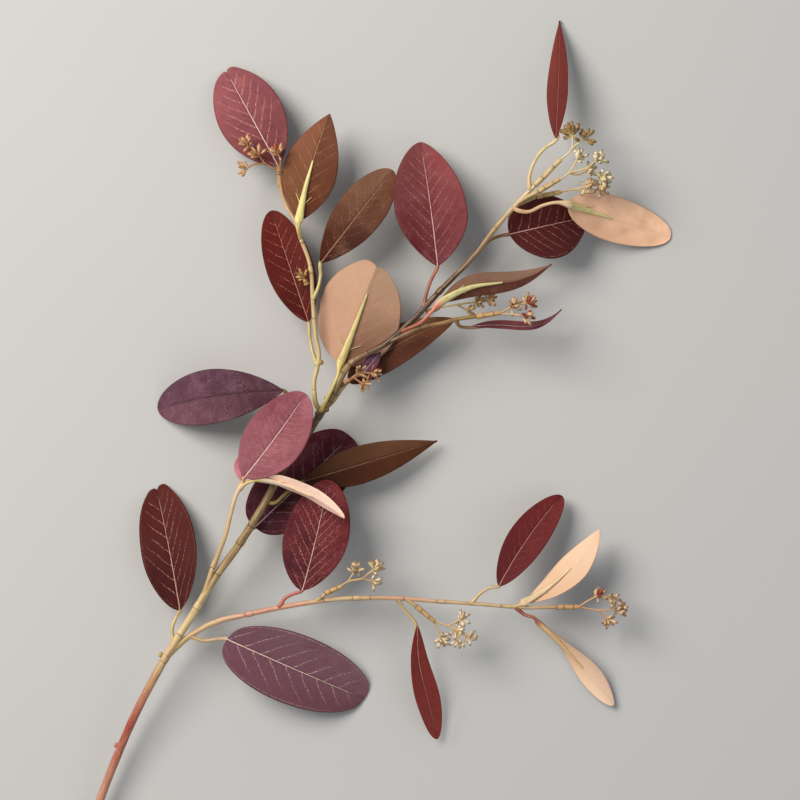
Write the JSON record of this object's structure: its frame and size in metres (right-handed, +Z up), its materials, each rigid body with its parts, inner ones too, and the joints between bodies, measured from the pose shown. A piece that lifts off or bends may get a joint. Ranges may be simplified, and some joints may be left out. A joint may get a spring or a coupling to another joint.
{
  "type": "seeded eucalyptus branch",
  "caption": "Artificial seeded eucalyptus branch: forked stems with oval burgundy, rose and tan fabric leaves and heads of small buds, laid flat as floral decoration.",
  "frame": {"origin": "middle of the bounding box, on the plane the branch lies on", "axes": "+Y from the cut end towards the crown, +X to the right as the leaves' printed faces are looked at, +Z up, out of the plane the branch lies on"},
  "size_m": [0.417, 0.6526, 0.0522],
  "materials": {
    "stem_plastic": "moulded, airbrushed from ochre to brown",
    "seed_plastic": "moulded, airbrushed from olive to cream",
    "leaf_burgundy": "pressed cloth, printed veins",
    "leaf_wine": "pressed cloth, printed veins",
    "leaf_plum": "pressed cloth, printed veins",
    "leaf_rose": "pressed cloth, printed veins",
    "leaf_brown": "pressed cloth in cocoa brown, veins hardly showing",
    "leaf_tan": "pressed cloth, the unprinted back in tan",
    "leaf_peach": "pressed cloth, the unprinted back in peach"
  },
  "bodies": {
    "root": {"stem_foot": "stem_plastic", "stem_first_fork": "stem_plastic", "stem_second_fork": "stem_plastic", "stem_left_twig": "stem_plastic", "stem_middle": "stem_plastic", "stem_upper_fork": "stem_plastic", "stem_shoulder": "stem_plastic", "stem_branchlet": "stem_plastic", "stem_crown": "stem_plastic", "stem_crown_fork": "stem_plastic", "stem_upper_twig": "stem_plastic", "stem_twig_end": "stem_plastic", "stem_branch_inner": "stem_plastic", "stem_branch_middle": "stem_plastic", "stem_branch_outer": "stem_plastic", "leaf_lower_left": "leaf_burgundy", "leaf_lower_right": "leaf_plum", "leaf_branch_first": "leaf_wine", "leaf_branch_hanging": "leaf_burgundy", "leaf_branch_upright": "leaf_burgundy", "leaf_branch_pale": "leaf_peach", "leaf_branch_end": "leaf_peach", "leaf_mid_pink": "leaf_rose", "leaf_mid_small": "leaf_rose", "leaf_mid_pale": "leaf_peach", "leaf_mid_behind": "leaf_wine", "leaf_mid_right": "leaf_brown", "leaf_mid_left": "leaf_plum", "leaf_fork_round": "leaf_tan", "leaf_fork_under": "leaf_brown", "leaf_fork_small": "leaf_plum", "leaf_fork_left": "leaf_burgundy", "leaf_twig_right": "leaf_brown", "leaf_twig_front": "leaf_brown", "leaf_twig_end": "leaf_rose", "leaf_crown_oval": "leaf_wine", "leaf_crown_narrow": "leaf_tan", "leaf_crown_slim": "leaf_plum", "leaf_crown_under": "leaf_wine", "leaf_crown_side": "leaf_peach", "leaf_crown_tip": "leaf_burgundy", "seed_head_twig": "seed_plastic", "seed_head_twig_inner": "seed_plastic", "seed_head_crown_left": "seed_plastic", "seed_head_crown_middle": "seed_plastic", "seed_head_crown_right": "seed_plastic", "seed_head_shoulder": "seed_plastic", "seed_head_branchlet": "seed_plastic", "seed_head_fork": "seed_plastic", "seed_head_branch_upper": "seed_plastic", "seed_head_branch_lower": "seed_plastic", "seed_head_branch_end": "seed_plastic"}
  },
  "joints": []
}
